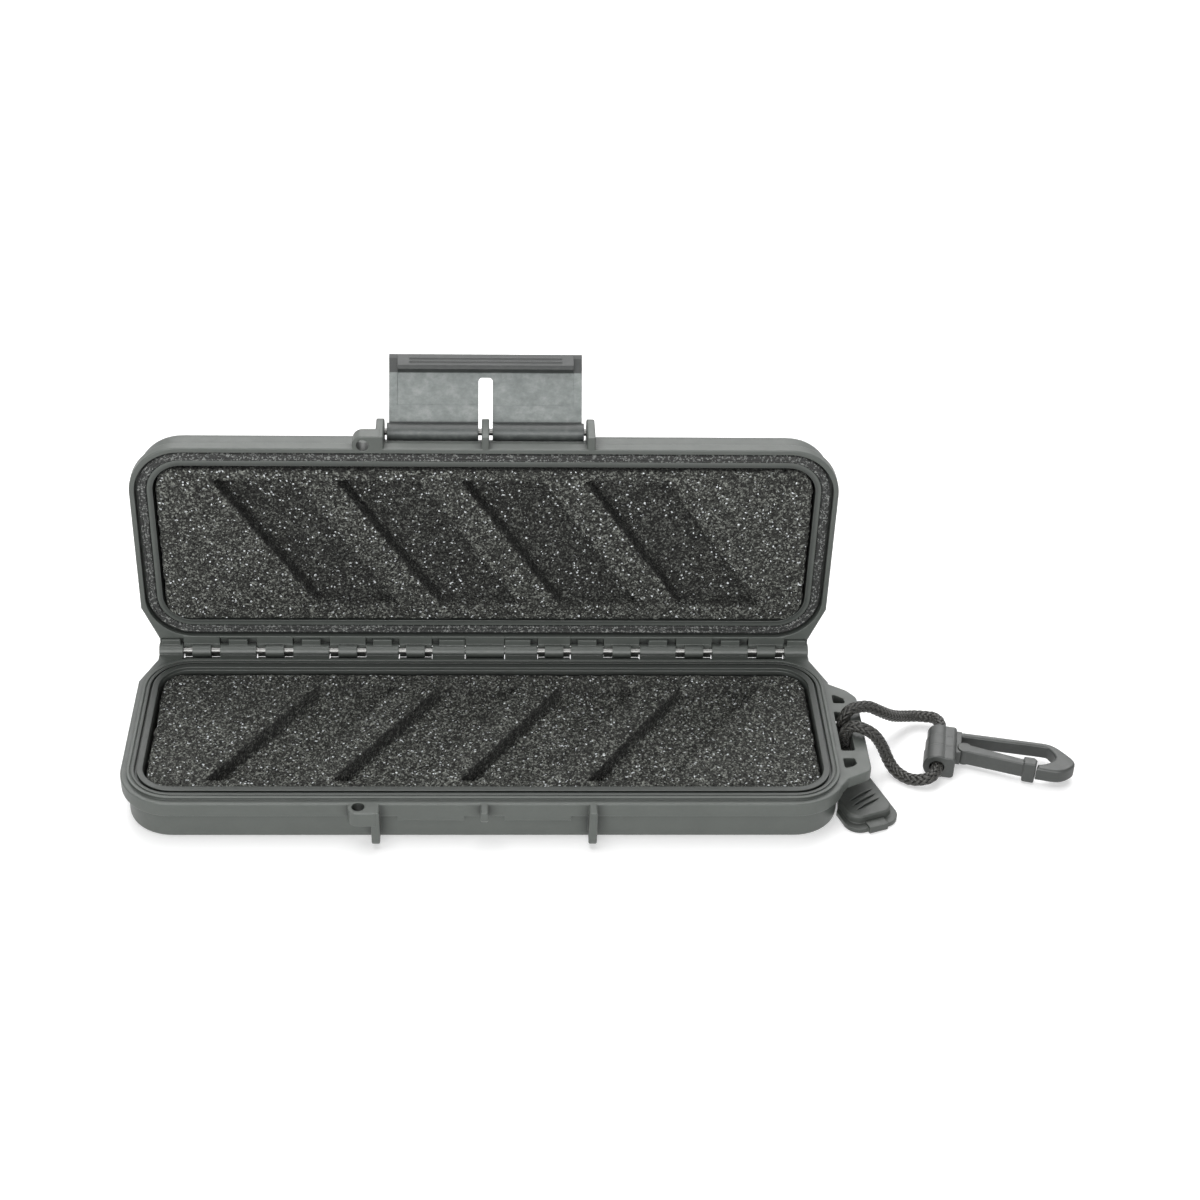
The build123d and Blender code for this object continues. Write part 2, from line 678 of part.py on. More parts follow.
def vent_tab():
    """Rubber tab about its pivot, at table height, pointing along its own X."""
    low = TAB_LIFT
    top = low + TAB_HEIGHT
    tab = rounded_tongue(TAB_WIDTH, TAB_REACH, TAB_BACK, low, top, TAB_CORNER)
    tab = fillet(tab.faces().sort_by(Axis.Z)[-1].edges(), TAB_EDGE)
    tab += rounded_tongue(
        TAB_FLANGE_WIDTH, TAB_FLANGE_REACH, TAB_FLANGE_BACK,
        low, low + TAB_FLANGE_HEIGHT, TAB_FLANGE_CORNER,
    )
    pull_end = TAB_FLANGE_REACH + TAB_PULL_OUT
    tab += block(pull_end - TAB_PULL_LENGTH, pull_end, *TAB_PULL_SIDES, low, low + TAB_PULL_HEIGHT)
    tab = Pos(0, -TAB_SHIFT, 0) * tab
    for slit in grip_slits(top):
        tab -= slit
    tab -= Cylinder(RIVET_HEAD_RADIUS + 3 * SWING_GAP, 2 * (top - TAB_EAR_HEIGHT))
    tab -= Cylinder(RIVET_RADIUS + RIVET_CLEARANCE, 4 * TAB_HEIGHT)
    tab = tab_pivot() * Rot(0, 0, TAB_ANGLE - 90) * tab
    return tab - slab(case_outline(BASE_INSET - TAB_WALL_GAP), -BASE_HEIGHT - 1, 0)


def tab_rivet():
    """Rivet up through the tab into the post."""
    head_top = TAB_LIFT + TAB_HEIGHT - TAB_EAR_HEIGHT - SWING_GAP
    top = TAB_LIFT + TAB_HEIGHT + SWING_GAP + RIVET_GRIP - RIVET_SHORT
    base = (Align.CENTER, Align.CENTER, Align.MIN)
    rivet = Pos(0, 0, head_top - RIVET_HEAD) * Cylinder(RIVET_HEAD_RADIUS, RIVET_HEAD, align=base)
    rivet += Pos(0, 0, head_top) * Cylinder(RIVET_RADIUS, top - head_top, align=base)
    return tab_pivot() * rivet


def cord_route():
    """Chosen points of the lanyard loop: out from the flange end, forward, and up."""
    points = [
        (2.1, 37.0, 9.9),
        (2.1, 37.0, 18.6),
        (10.3, 33.5, 18.2),
        (15.2, 32.2, 14.6),
        (20.4, 28.2, 9.4),
        (25.4, 23.0, 5.2),
        (31.0, 20.4, 3.4),
        (38.4, 23.3, 4.6),
        (34.4, 40.2, 4.6),
        (31.6, 53.4, 4.4),
        (24.4, 52.9, 2.1),
        (19.6, 48.6, 2.1),
        (17.0, 45.0, 4.6),
        (14.4, 45.0, 11.0),
        (10.0, 46.6, 18.0),
        (2.1, 43.4, 18.6),
        (2.1, 43.0, 9.9),
    ]
    return [Vector(HALF_LENGTH + x, HINGE_Y - front, z) for x, front, z in points]


def bend_radii(points):
    """Radius of the arc at each inner point, from its runs and its turn."""
    radii = []
    for before, here, after in zip(points, points[1:], points[2:]):
        turn = radians((here - before).get_angle(after - here))
        shorter = min((here - before).length, (after - here).length)
        radii.append(0.45 * shorter / tan(turn / 2))
    return radii


def lanyard_cord():
    """Braided cord, from the knot up the slot, through the eye and back."""
    points = cord_route()
    radii = bend_radii(points)
    path = FilletPolyline(*points, radius=radii)
    section = Plane(origin=path @ 0, z_dir=path % 0) * Circle(CORD_RADIUS)
    tube = sweep(section, path=path)
    print("cord length %.1f mm" % path.length)
    print("cord bend radii", [round(r, 1) for r in radii])
    share = tube.volume / (section.area * path.length)
    print("cord volume over section times length %.4f" % share)
    return tube


def cord_knot():
    """Stopper knot that both ends share under the bracket."""
    x, y, z = KNOT_SIZE
    top = BASE_HEIGHT - BRACKET_THICKNESS - KNOT_DROP
    body = Box(x, y, z, align=(Align.CENTER, Align.CENTER, Align.MAX))
    body = fillet(body.edges().filter_by(Axis.Z), KNOT_CORNER)
    body = fillet(body.faces().sort_by(Axis.Z)[0].edges(), KNOT_EDGE)
    return Pos(HALF_LENGTH + KNOT_OUT, HINGE_Y - KNOT_FRONT, top) * body


def snap_place():
    return Pos(HALF_LENGTH + SNAP_X, HINGE_Y - SNAP_FRONT, SNAP_AXIS_HEIGHT) * Rot(0, 0, -SNAP_ANGLE)


def eye_section(radius, near, far):
    """One step of the eye: round to the left, square to the neck."""
    half = radius - EYE_NECK_INSET
    neck = Rectangle(EYE_NECK, 2 * half, align=(Align.MIN, Align.CENTER))
    neck = fillet(neck.vertices().sort_by(Axis.X)[-2:], EYE_NECK_CORNER)
    body = slab(Circle(radius) + neck, 0, far - near)
    ends = body.faces().sort_by(Axis.Z)
    body = fillet(ends[0].edges() + ends[-1].edges(), EYE_EDGE)
    return Pos(0, near, 0) * Rot(-90, 0, 0) * body


def snap_frame_outline():
    """Back bar and the curled nose of the snap hook."""
    lines = [
        Line((BAR_START, BAR_OUTER), NOSE_OUTER[0]),
        Spline(*NOSE_OUTER, tangents=((1, 0), (-1, 0.08))),
        Line(NOSE_OUTER[-1], NOSE_TIP),
        Line(NOSE_TIP, NOSE_INNER[0]),
        Spline(*NOSE_INNER, tangents=((1, 0.25), (-1, 0))),
        Line(NOSE_INNER[-1], (BAR_START, BAR_INNER)),
        Line((BAR_START, BAR_INNER), (BAR_START, BAR_OUTER)),
    ]
    return make_face(Wire(lines))


def snap_hook():
    """Eye, back bar and nose, lying flat on the table."""
    half = FRAME_THICKNESS / 2
    hook = slab(snap_frame_outline(), -half, half)
    flats = hook.faces().sort_by(Axis.Z)
    hook = fillet(flats[0].edges() + flats[-1].edges(), FRAME_EDGE)
    steps = ((EYE_STEP_FAR, EYE_FAR), (EYE_STEP_NEAR, EYE_STEP_FAR), (EYE_NEAR, EYE_STEP_NEAR))
    for wall, (near, far) in zip(EYE_WALLS, steps):
        hook += eye_section(EYE_BORE + wall, near, far)
    hook += block(SPINE_START, SPINE_END, SPINE_FRONT, BAR_OUTER, -half, half)
    hook -= Rot(-90, 0, 0) * Cylinder(EYE_BORE, 4 * EYE_FAR)
    x, y = GATE_PIVOT
    hook -= Pos(x, y, 0) * Cylinder(GATE_KNUCKLE + GATE_CLEARANCE, 2 * GATE_TIP_THICKNESS)
    return snap_place() * hook


def hook_gate():
    """Spring gate: a round root in the neck, a tapering arm and a tall end block."""
    half = GATE_THICKNESS / 2
    x, y = GATE_PIVOT
    back, front = GATE_ARM_SIDES
    arm = make_face(Polyline(
        (x, y + GATE_ROOT_HALF), (GATE_ARM_END, back), (GATE_ARM_END, front),
        (x, y - GATE_ROOT_HALF), close=True,
    ))
    gate = slab(arm, -half, half)
    flats = gate.faces().sort_by(Axis.Z)
    gate = fillet(flats[0].edges() + flats[-1].edges(), GATE_EDGE)
    gate += Pos(x, y, 0) * Cylinder(GATE_KNUCKLE, GATE_THICKNESS)
    tip = make_face(Polyline(*GATE_TIP, close=True))
    tall = GATE_TIP_THICKNESS / 2
    block_end = slab(fillet(tip.vertices(), GATE_EDGE), -tall, tall)
    flats = block_end.faces().sort_by(Axis.Z)
    gate += fillet(flats[0].edges() + flats[-1].edges(), GATE_EDGE)
    return snap_place() * gate


def main():
    latch_place = TO_LID * Pos(0, PIVOT_Y, LATCH_PIVOT_HEIGHT) * Rot(-LATCH_REST, 0, 0)
    nodes = {
        "base_shell": TO_BASE * base_shell(),
        "lid_shell": TO_LID * lid_shell(),
        "lid_seal": TO_LID * lid_seal(),
        "base_foam_slotted": TO_BASE * foam_cut(BASE_FOAM_INSET, -1),
        "base_foam_backing": TO_BASE * foam_backing(BASE_FOAM_INSET, -1, BASE_HEIGHT),
        "lid_foam_slotted": TO_LID * foam_cut(LID_FOAM_INSET, 1),
        "lid_foam_backing": TO_LID * foam_backing(LID_FOAM_INSET, 1, LID_HEIGHT),
        "hinge_pin": TO_BASE * rod(HINGE_PIN_RADIUS, -HINGE_HALF, HINGE_HALF),
        "latch": latch_place * latch(),
        "latch_pin": TO_LID * latch_pin(),
        "vent_tab": TO_BASE * vent_tab(),
        "tab_rivet": TO_BASE * tab_rivet(),
        "lanyard_cord": lanyard_cord(),
        "cord_knot": cord_knot(),
        "snap_hook": snap_hook(),
        "hook_gate": hook_gate(),
    }
    os.makedirs("parts", exist_ok=True)
    for name, shape in nodes.items():
        export_step(shape, "parts/%s.step" % name)


main()
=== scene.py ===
import math

import bpy
import numpy as np
from mathutils import Matrix, Vector


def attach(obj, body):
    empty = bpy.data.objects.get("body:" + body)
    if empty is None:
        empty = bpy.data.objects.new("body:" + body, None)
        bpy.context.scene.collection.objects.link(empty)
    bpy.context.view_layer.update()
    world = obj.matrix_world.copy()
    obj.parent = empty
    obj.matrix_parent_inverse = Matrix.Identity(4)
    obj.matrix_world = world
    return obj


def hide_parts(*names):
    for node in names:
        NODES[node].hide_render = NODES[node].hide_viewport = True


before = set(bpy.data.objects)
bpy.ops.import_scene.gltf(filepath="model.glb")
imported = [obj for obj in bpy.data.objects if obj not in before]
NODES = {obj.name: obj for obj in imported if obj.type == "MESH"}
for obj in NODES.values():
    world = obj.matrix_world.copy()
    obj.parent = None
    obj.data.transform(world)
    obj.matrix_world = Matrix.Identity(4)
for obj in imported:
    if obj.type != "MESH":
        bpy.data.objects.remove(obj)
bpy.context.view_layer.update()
MM = 0.001

# Places and sizes repeated from the CAD source, in millimetres. Below, t is the distance forward of
# the hinge in the base, and up from the hinge in the standing lid.
HINGE_Y, HINGE_Z = 42.0, 15.0
END_X = 114.0
RIM_HALF, RIM_FRONT, RIM_BACK, RIM_CORNER = 112.0, 77.3, 6.0, 15.0
RIM_MIDDLE = (RIM_FRONT + RIM_BACK) / 2
SLOT_WIDTH, SLOT_SLANT = 26.0, 0.675
SLOT_FRONT_GAP, SLOT_BACK_GAP = 4.7, 6.7
SLOT_LEFT_GAP, SLOT_RIGHT_GAP = 18.8, 15.3
BASE_FOAM_INSET, LID_FOAM_INSET = 5.8, 6.1
FOAM_BELOW = 0.8
SEAL_FACE = 1.3
CORD_RADIUS = 2.0

# The latch at rest, in metres: its pin, the way its plate points, and where along that way, from
# the pin, its hook strip, its panel and its barrel change in painted shade.
LATCH_PIVOT = (0.0, 0.0542, 0.0935)
LATCH_AHEAD = (0.0, 0.5446, 0.8387)
LATCH_HOOK_FROM = 0.0189
LATCH_PANEL_FROM = 0.0029
LATCH_BARREL_TOP, LATCH_BARREL_MIDDLE = 0.0024, -0.0011

# Camera: lens and sensor in millimetres, shift in frame widths, place in metres, angles in degrees.
CAMERA_LENS, CAMERA_SENSOR, CAMERA_SHIFT = 67.14, 36.0, 0.0437
CAMERA_PLACE = (0, -0.5637, 0.4660)
CAMERA_DOWN, CAMERA_TURN, CAMERA_ROLL = 35.37, -1.6, 0.15

# Braid: turn of a strand and step along the line in metres, strands each way, and, as shares of
# the radius, the core, the wave, a strand's half thickness and half width, and the depth where
# painted shade in the pits between strands begins and the depth over which it grows full.
BRAID_PITCH, BRAID_STEP, BRAID_CARRIERS = 0.0160, 0.00022, 8
BRAID_CORE, BRAID_WAVE, BRAID_THICK, BRAID_WIDE = 0.72, 0.10, 0.15, 0.27
PIT_FROM, PIT_SPAN = 0.97, 0.14

# Stopper knot and cord ends under the bracket, in millimetres: out from the flange end, t and up.
KNOT_OUT, KNOT_T = 2.6, 40.0
KNOT_HALF_OUT, KNOT_HALF_T = 2.3, 5.8
KNOT_LOW, KNOT_HIGH = 5.3, 8.1
KNOT_RADIUS, TAIL_RADIUS = 1.6, 1.8
TAIL_OUT, TAIL_TS, TAIL_HEIGHTS = 2.1, (37.0, 43.0), (9.8, 7.0, 3.9)

# Foam, in millimetres: pitch of its grid, width of the torn band along its outline, a distance
# beyond every mark, and its relief as (height, size of the features). Then counts: rows round a
# corner, steps down a wall, slots.
FOAM_PITCH = 0.36
TORN_BAND = 2
FAR = 9.0
FOAM_RELIEF = ((0.26, 0.75), (0.18, 2.0), (0.16, 9.0))
CORNER_ROWS, WALL_STEPS, SLOT_COUNT = 30, 3, 4

# Raised beads of the seal: inset from the rim, half width and height, in millimetres.
SEAL_BEADS = ((1.15, 0.42, 0.24), (2.75, 0.42, 0.24))
BEAD_SIDES = 10

# Floor and light: half side of the floor in metres, its colour, its glow near the case, ambient
# light, and soft boxes as name, place, target, size in metres and power in watts.
FLOOR_HALF = 3
FLOOR_WHITE = (0.8, 0.8, 0.8, 1)
FLOOR_GLOW = 0.36
AMBIENT = 0.17
SOFT_BOXES = (
    ("back_top", (0.10, 0.75, 0.95), (0, 0, 0.06), (1.4, 0.8), 12),
    ("overhead", (-0.15, 0.05, 1.2), (0, 0, 0.04), (1.0, 0.8), 9),
    ("front_fill", (-0.2, -1.3, 0.45), (0, 0, 0.04), (1.5, 0.9), 18.5),
)


# Camera

def make_camera():
    data = bpy.data.cameras.new("camera")
    data.lens = CAMERA_LENS
    data.sensor_width = CAMERA_SENSOR
    data.shift_x = CAMERA_SHIFT
    cam = bpy.data.objects.new("camera", data)
    bpy.context.scene.collection.objects.link(cam)
    look = Matrix.Rotation(math.radians(90 - CAMERA_DOWN), 4, "X")
    turn = Matrix.Rotation(math.radians(CAMERA_TURN), 4, "Y")
    roll = Matrix.Rotation(math.radians(CAMERA_ROLL), 4, "Z")
    cam.matrix_world = Matrix.Translation(CAMERA_PLACE) @ look @ turn @ roll
    bpy.context.scene.camera = cam


# Small helpers for meshes

def mesh_object(name, points, faces, smooth=True):
    mesh = bpy.data.meshes.new(name)
    mesh.from_pydata([tuple(p) for p in points], [], [tuple(f) for f in faces])
    mesh.update()
    if smooth:
        mesh.polygons.foreach_set("use_smooth", [True] * len(mesh.polygons))
    obj = bpy.data.objects.new(name, mesh)
    bpy.context.scene.collection.objects.link(obj)
    return obj


def lattice_noise(points, size, seed):
    """Smooth random values from -1 to 1 with features of one size, the same on each run."""
    side = 32
    table = np.random.RandomState(seed).rand(side, side, side) * 2 - 1
    q = points / size
    cell = np.floor(q).astype(int)
    f = q - cell
    f = f * f * (3 - 2 * f)
    total = np.zeros(len(points))
    for corner in range(8):
        step = np.array([(corner >> k) & 1 for k in range(3)])
        weight = np.prod(np.where(step, f, 1 - f), axis=1)
        i = (cell + step) % side
        total += weight * table[i[:, 0], i[:, 1], i[:, 2]]
    return total


# Materials

class Nodes:
    """Short calls for the nodes of one tree."""

    def __init__(self, tree):
        self.tree = tree

    def add(self, kind, **settings):
        node = self.tree.nodes.new(kind)
        for key, value in settings.items():
            setattr(node, key, value)
        return node

    def link(self, a, b):
        self.tree.links.new(a, b)

    def span(self, value, low, high, to_low, to_high):
        node = self.add("ShaderNodeMapRange")
        self.link(value, node.inputs["Value"])
        node.inputs["From Min"].default_value = low
        node.inputs["From Max"].default_value = high
        node.inputs["To Min"].default_value = to_low
        node.inputs["To Max"].default_value = to_high
        return node.outputs["Result"]

    def by_ray(self, other, glossy, camera):
        """One shader for camera rays, one for glossy rays and one for the others."""
        path = self.add("ShaderNodeLightPath")
        last = other
        for ray, seen in (("Is Glossy Ray", glossy), ("Is Camera Ray", camera)):
            pick = self.add("ShaderNodeMixShader")
            self.link(path.outputs[ray], pick.inputs[0])
            self.link(last.outputs[0], pick.inputs[1])
            self.link(seen.outputs[0], pick.inputs[2])
            last = pick
        return last.outputs[0]


class Shader(Nodes):
    """A new node material with a Principled shader."""

    def __init__(self, name):
        self.material = bpy.data.materials.new(name)
        self.material.use_nodes = True
        super().__init__(self.material.node_tree)
        self.bsdf = self.tree.nodes["Principled BSDF"]
        self.place = self.add("ShaderNodeTexCoord").outputs["Object"]

    def set(self, **values):
        for key, value in values.items():
            self.bsdf.inputs[key.replace("_", " ")].default_value = value

    def scaled(self, vector):
        node = self.add("ShaderNodeVectorMath", operation="MULTIPLY")
        self.link(self.place, node.inputs[0])
        node.inputs[1].default_value = vector
        return node.outputs[0]

    def noise(self, size, detail=3.0, rough=0.6, stretch=None):
        """Noise whose features are about size metres."""
        node = self.add("ShaderNodeTexNoise")
        self.link(self.scaled(stretch) if stretch else self.place, node.inputs["Vector"])
        node.inputs["Scale"].default_value = 1.0 / size
        node.inputs["Detail"].default_value = detail
        node.inputs["Roughness"].default_value = rough
        return node.outputs["Fac"]

    def cells(self, size, output="Distance"):
        """Voronoi cells of about size metres."""
        node = self.add("ShaderNodeTexVoronoi", feature="F1")
        self.link(self.place, node.inputs["Vector"])
        node.inputs["Scale"].default_value = 1.0 / size
        node.inputs["Randomness"].default_value = 1.0
        return node.outputs[output]

    def cell_tones(self, size):
        """Three random values for each cell."""
        node = self.add("ShaderNodeSeparateColor")
        self.link(self.cells(size, "Color"), node.inputs[0])
        return node.outputs

    def ramp(self, value, stops):
        node = self.add("ShaderNodeValToRGB")
        ramp = node.color_ramp
        while len(ramp.elements) < len(stops):
            ramp.elements.new(0.5)
        for element, (at, colour) in zip(ramp.elements, stops):
            element.position = at
            element.color = (*colour, 1)
        self.link(value, node.inputs[0])
        return node.outputs["Color"]

    def maths(self, operation, a, b):
        node = self.add("ShaderNodeMath", operation=operation)
        for i, value in enumerate((a, b)):
            if isinstance(value, (int, float)):
                node.inputs[i].default_value = value
            else:
                self.link(value, node.inputs[i])
        return node.outputs[0]

    def mix(self, factor, a, b, blend="MIX"):
        node = self.add("ShaderNodeMix", data_type="RGBA", blend_type=blend)
        for name, value in (("Factor_Float", factor), ("A_Color", a), ("B_Color", b)):
            socket = next(s for s in node.inputs if s.identifier == name)
            if isinstance(value, (int, float)):
                socket.default_value = value
            elif isinstance(value, tuple):
                socket.default_value = (*value, 1)
            else:
                self.link(value, socket)
        return next(s for s in node.outputs if s.identifier == "Result_Color")

    def grey(self, value):
        node = self.add("ShaderNodeCombineColor")
        for socket in node.inputs:
            self.link(value, socket)
        return node.outputs[0]

    def sum_of(self, *parts):
        """The sum of values, each given with its share."""
        total = None
        for value, share in parts:
            scaled = self.maths("MULTIPLY", value, share)
            total = scaled if total is None else self.maths("ADD", total, scaled)
        return total

    def times(self, colour, value):
        """A colour multiplied by a value."""
        return self.mix(1.0, colour, self.grey(value), "MULTIPLY")

    def dot(self, vector, other):
        node = self.add("ShaderNodeVectorMath", operation="DOT_PRODUCT")
        self.link(vector, node.inputs[0])
        if isinstance(other, tuple):
            node.inputs[1].default_value = other
        else:
            self.link(other, node.inputs[1])
        return node.outputs["Value"]

    def bump(self, height, distance, strength=1.0, normal=None):
        node = self.add("ShaderNodeBump")
        node.inputs["Strength"].default_value = strength
        node.inputs["Distance"].default_value = distance
        self.link(height, node.inputs["Height"])
        if normal is not None:
            self.link(normal, node.inputs["Normal"])
        return node.outputs["Normal"]

    def soft_edges(self, radius):
        node = self.add("ShaderNodeBevel", samples=6)
        node.inputs["Radius"].default_value = radius
        return node.outputs["Normal"]

    def edge_highlight_share(self, bevel, most):
        """Share of the painted edge highlight: from 0 on flat faces to most on edges."""
        geometry = self.add("ShaderNodeNewGeometry")
        return self.span(self.dot(bevel, geometry.outputs["Normal"]), 0.995, 0.80, 0.0, most)

    def shaded_grooves(self, colour, reach, darkest):
        """Painted shade: the colour, darker in the piece's own grooves and corners, found by
        ambient occlusion.
        """
        node = self.add("ShaderNodeAmbientOcclusion", samples=6, only_local=True)
        node.inputs["Distance"].default_value = reach
        return self.times(colour, self.span(node.outputs["AO"], 0.35, 0.95, darkest, 1.0))

    def rim_inset(self, axis, middle):
        """How far inside the rim's outer line each place is, in metres."""
        parts = self.add("ShaderNodeSeparateXYZ")
        self.link(self.place, parts.inputs[0])
        corner = RIM_CORNER * MM
        deep = (RIM_FRONT - RIM_BACK) / 2 * MM
        x = self.maths("ABSOLUTE", parts.outputs["X"], 0.0)
        x = self.maths("SUBTRACT", x, RIM_HALF * MM - corner)
        y = self.maths("SUBTRACT", parts.outputs[axis], middle * MM)
        y = self.maths("SUBTRACT", self.maths("ABSOLUTE", y, 0.0), deep - corner)
        flat = self.maths("MINIMUM", self.maths("MAXIMUM", x, y), 0.0)
        x, y = self.maths("MAXIMUM", x, 0.0), self.maths("MAXIMUM", y, 0.0)
        bent = self.maths("ADD", self.maths("MULTIPLY", x, x), self.maths("MULTIPLY", y, y))
        bent = self.maths("SQRT", bent, 0.0)
        return self.maths("SUBTRACT", corner, self.maths("ADD", bent, flat))

    def colour(self, value):
        self.link(value, self.bsdf.inputs["Base Color"])

    def roughness(self, value):
        self.link(value, self.bsdf.inputs["Roughness"])

    def normal(self, value):
        self.link(value, self.bsdf.inputs["Normal"])


def moulded_plastic(
    name, dark, light, rough, edge=0.00045, grain=0.000012, edge_highlight=0.25, painted_groove_shade=False, painted_rim_shade=None,
):
    """Moulded plastic: faint mottling, fine surface grain, and edges painted lighter as a
    highlight.

    The last argument paints shade on the piece inside its rim: the axis across the rim, the rim's
    middle on it in millimetres, how far inside the rim it starts in metres, and the tone there. The
    one before it paints shade in the piece's own grooves and corners.
    """
    s = Shader(name)
    cloud = s.noise(0.009, 4.0, 0.55)
    fine = s.noise(0.0009, 3.0, 0.6)
    mottle = s.sum_of((cloud, 0.65), (fine, 0.35))
    base = s.ramp(mottle, [(0.28, dark), (0.72, light)])
    # Painted shade in grooves and corners.
    if painted_groove_shade:
        base = s.shaded_grooves(base, 0.004, 0.35)
    # Painted shade on the piece inside its rim.
    if painted_rim_shade:
        axis, middle, start, darker = painted_rim_shade
        shade = s.span(s.rim_inset(axis, middle), start, start + 0.0008, 1.0, darker)
        base = s.times(base, shade)
    bevel = s.soft_edges(edge)
    # Painted highlight: edges lighter than the body.
    edge_highlight_colour = tuple(2.1 * c for c in light)
    s.colour(s.mix(s.edge_highlight_share(bevel, edge_highlight), base, edge_highlight_colour))
    s.roughness(s.span(s.noise(0.003, 4.0, 0.6), 0.3, 0.7, *rough))
    s.normal(s.bump(s.noise(0.00035, 2.0, 0.7), grain, 1.0, s.bump(cloud, 0.00006, 0.5, bevel)))
    return s


def shell_material(name, painted_rim_shade):
    """Dark grey-green plastic of the base and the lid, with painted shade in grooves and inside the
    rim, and painted edge highlights.
    """
    s = moulded_plastic(
        name, (0.072, 0.080, 0.073), (0.088, 0.097, 0.089), (0.34, 0.46),
        edge_highlight=0.40, painted_groove_shade=True, painted_rim_shade=painted_rim_shade,
    )
    s.set(Specular_IOR_Level=0.5)
    return s.material


def latch_material():
    """Latch plastic, lighter and more marbled, with painted shade on the hook strip and on the
    barrel, and painted edge highlights.
    """
    s = Shader("latch_plastic")
    cloud = s.noise(0.004, 5.0, 0.62)
    streak = s.noise(0.0016, 5.0, 0.65, stretch=(0.7, 1.0, 1.2))
    mottle = s.sum_of((cloud, 0.6), (streak, 0.4))
    base = s.ramp(mottle, [
        (0.36, (0.125, 0.140, 0.136)),
        (0.50, (0.168, 0.186, 0.180)),
        (0.64, (0.235, 0.252, 0.244)),
    ])
    along = s.dot(s.place, LATCH_AHEAD)
    pin = sum(p * d for p, d in zip(LATCH_PIVOT, LATCH_AHEAD))
    hook = pin + LATCH_HOOK_FROM
    panel = pin + LATCH_PANEL_FROM
    # Painted shade: the hook strip darker, and the barrel darker, darkest at its top next to the
    # panel.
    strip_painted_shade = s.span(along, hook, hook + 0.0003, 1.0, 0.15)
    panel_tone = s.span(along, panel, panel + 0.0006, 0.0, 1.0)
    barrel_painted_shade = s.span(along, pin + LATCH_BARREL_MIDDLE, pin + LATCH_BARREL_TOP, 0.62, 0.10)
    painted_shade_below_strip = s.maths("MAXIMUM", panel_tone, barrel_painted_shade)
    base = s.times(base, s.maths("MULTIPLY", strip_painted_shade, painted_shade_below_strip))
    bevel = s.soft_edges(0.0004)
    # Painted highlight on the edges.
    s.colour(s.mix(s.edge_highlight_share(bevel, 0.15), base, (0.26, 0.28, 0.27)))
    s.roughness(s.span(cloud, 0.3, 0.7, 0.34, 0.50))
    s.normal(s.bump(s.noise(0.0004, 2.0, 0.7), 0.00001, 1.0, s.bump(cloud, 0.00005, 0.6, bevel)))
    return s.material


def hook_material():
    """Snap hook plastic, darker and glossier than the case, with painted edge highlights."""
    s = moulded_plastic(
        "hook_plastic", (0.030, 0.033, 0.031), (0.046, 0.050, 0.047), (0.32, 0.46),
        edge=0.0005, edge_highlight=0.30,
    )
    s.set(Specular_IOR_Level=0.6)
    return s.material


def rubber_material():
    """Soft dark rubber of the tab, with painted edge highlights."""
    return moulded_plastic(
        "tab_rubber", (0.042, 0.046, 0.042), (0.056, 0.061, 0.056), (0.38, 0.52),
        edge=0.0005, grain=0.00002, edge_highlight=0.50,
    ).material


def rivet_material():
    # Dark rivet plastic, with painted edge highlights.
    return moulded_plastic(
        "rivet_plastic", (0.02, 0.022, 0.022), (0.03, 0.033, 0.032), (0.35, 0.5),
    ).material


def seal_material():
    """Foam rubber gasket: nearly black, with pale specks and a sheen."""
    s = Shader("seal_rubber")
    specks = s.span(s.cell_tones(0.00045)[0], 0.70, 0.95, 0.0, 1.0)
    s.colour(s.mix(specks, (0.022, 0.023, 0.022), (0.24, 0.25, 0.24)))
    s.set(Roughness=0.6)
    s.normal(s.bump(s.cells(0.00045), 0.00012, 0.9, s.soft_edges(0.0006)))
    return s.material


def steel_material():
    s = Shader("pin_steel")
    s.set(Metallic=1.0)
    drawn = s.noise(0.0006, 4.0, 0.7, stretch=(0.2, 1.0, 1.0))
    s.colour(s.ramp(drawn, [(0.3, (0.16, 0.16, 0.155)), (0.7, (0.34, 0.34, 0.33))]))
    s.roughness(s.span(drawn, 0.3, 0.7, 0.35, 0.50))
    s.normal(s.bump(drawn, 0.00001, 0.6, s.soft_edges(0.0003)))
    return s.material


